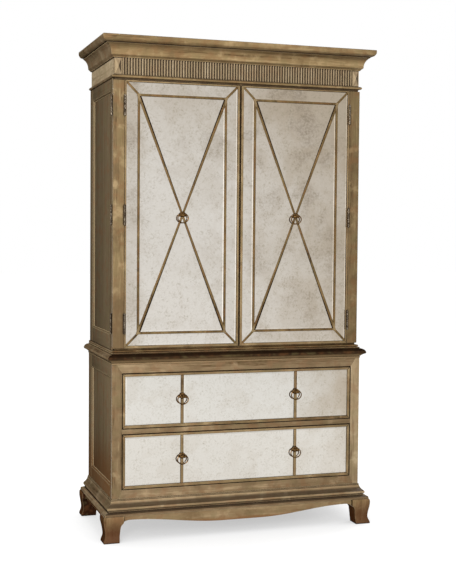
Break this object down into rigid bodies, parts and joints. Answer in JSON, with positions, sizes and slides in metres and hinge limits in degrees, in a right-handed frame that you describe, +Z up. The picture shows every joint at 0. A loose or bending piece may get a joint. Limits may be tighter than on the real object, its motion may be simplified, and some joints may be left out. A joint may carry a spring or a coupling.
{
  "type": "armoire",
  "caption": "Two-part wooden armoire: mirrored wrap-around doors with crossed bars and ring pulls over mirrored drawers, on curved bracket feet.",
  "frame": {"origin": "on the floor, in the middle of the footprint", "axes": "+Z up, the doors and drawers face -Y, +X to the right of someone facing the front"},
  "size_m": [1.274, 0.569, 2.19],
  "materials": {
    "front_wood": "antiqued champagne-gold glaze over streaky wood grain, satin",
    "case_wood": "brown-gold glazed veneer, satin",
    "plain_wood": "plain clear-finished inner boards",
    "mirror": "antiqued mirror glass with cloudy grey-beige mottling",
    "brass": "dark antique brass, worn on the high spots",
    "steel": "brushed steel tube"
  },
  "bodies": {
    "case": {"foot_front_left": "front_wood", "foot_front_right": "front_wood", "foot_back_left": "case_wood", "foot_back_right": "case_wood", "aprons": "front_wood", "base_moulding": "front_wood", "lower_side_left": "case_wood", "lower_side_right": "case_wood", "lower_face_frame": "front_wood", "lower_bottom": "plain_wood", "lower_top": "plain_wood", "lower_back": "plain_wood", "dust_board": "plain_wood", "drawer_runners": "plain_wood", "waist_moulding": "front_wood", "plinth_bead": "front_wood", "upper_side_left": "case_wood", "upper_side_right": "case_wood", "upper_bottom": "plain_wood", "upper_top": "plain_wood", "upper_back": "plain_wood", "shelf": "plain_wood", "clothes_rod": "steel", "inner_fittings": "brass", "astragal": "front_wood", "frieze_boards": "front_wood", "frieze_reeding": "front_wood", "frieze_blocks": "front_wood", "crown_moulding": "front_wood", "crown_top": "case_wood", "case_hinges": "brass"},
    "stile_left": {"stile_left": "front_wood", "stile_hinges_left": "brass"},
    "door_left": {"door_left": "front_wood", "door_mirrors_left": "mirror", "door_bars_left": "front_wood", "door_fittings_left": "brass", "door_pull_left": "brass"},
    "stile_right": {"stile_right": "front_wood", "stile_hinges_right": "brass"},
    "door_right": {"door_right": "front_wood", "door_mirrors_right": "mirror", "door_bars_right": "front_wood", "door_fittings_right": "brass", "door_pull_right": "brass"},
    "drawer_upper": {"drawer_upper_front": "front_wood", "drawer_upper_mirrors": "mirror", "drawer_upper_box": "plain_wood", "drawer_upper_pulls": "brass"},
    "drawer_lower": {"drawer_lower_front": "front_wood", "drawer_lower_mirrors": "mirror", "drawer_lower_box": "plain_wood", "drawer_lower_pulls": "brass"},
    "ring_door_left": {"ring_door_left": "brass"},
    "ring_door_right": {"ring_door_right": "brass"},
    "ring_upper_left": {"ring_upper_left": "brass"},
    "ring_upper_right": {"ring_upper_right": "brass"},
    "ring_lower_left": {"ring_lower_left": "brass"},
    "ring_lower_right": {"ring_lower_right": "brass"}
  },
  "joints": [
    {"name": "stile_left_swing", "type": "hinge", "parent": "case", "child": "stile_left", "pos_m": [-0.584, -0.196, 1.42425], "axis": [0, 0, -1], "range_deg": [0, 90]},
    {"name": "door_left_swing", "type": "hinge", "parent": "stile_left", "child": "door_left", "pos_m": [-0.5295, -0.2225, 1.42425], "axis": [0, 0, -1], "range_deg": [0, 180]},
    {"name": "stile_right_swing", "type": "hinge", "parent": "case", "child": "stile_right", "pos_m": [0.584, -0.196, 1.42425], "axis": [0, 0, 1], "range_deg": [0, 90]},
    {"name": "door_right_swing", "type": "hinge", "parent": "stile_right", "child": "door_right", "pos_m": [0.5295, -0.2225, 1.42425], "axis": [0, 0, 1], "range_deg": [0, 180]},
    {"name": "drawer_upper_slide", "type": "slide", "parent": "case", "child": "drawer_upper", "axis": [0, -1, 0], "range_m": [0, 0.38]},
    {"name": "drawer_lower_slide", "type": "slide", "parent": "case", "child": "drawer_lower", "axis": [0, -1, 0], "range_m": [0, 0.38]},
    {"name": "ring_door_left_swing", "type": "hinge", "parent": "door_left", "child": "ring_door_left", "pos_m": [-0.26775, -0.2275, 1.42425], "axis": [-1, 0, 0], "range_deg": [0, 60]},
    {"name": "ring_door_right_swing", "type": "hinge", "parent": "door_right", "child": "ring_door_right", "pos_m": [0.26775, -0.2275, 1.42425], "axis": [-1, 0, 0], "range_deg": [0, 60]},
    {"name": "ring_upper_left_swing", "type": "hinge", "parent": "drawer_upper", "child": "ring_upper_left", "pos_m": [-0.269, -0.2485, 0.62375], "axis": [-1, 0, 0], "range_deg": [0, 85]},
    {"name": "ring_upper_right_swing", "type": "hinge", "parent": "drawer_upper", "child": "ring_upper_right", "pos_m": [0.269, -0.2485, 0.62375], "axis": [-1, 0, 0], "range_deg": [0, 85]},
    {"name": "ring_lower_left_swing", "type": "hinge", "parent": "drawer_lower", "child": "ring_lower_left", "pos_m": [-0.269, -0.2485, 0.35675], "axis": [-1, 0, 0], "range_deg": [0, 85]},
    {"name": "ring_lower_right_swing", "type": "hinge", "parent": "drawer_lower", "child": "ring_lower_right", "pos_m": [0.269, -0.2485, 0.35675], "axis": [-1, 0, 0], "range_deg": [0, 85]}
  ]
}
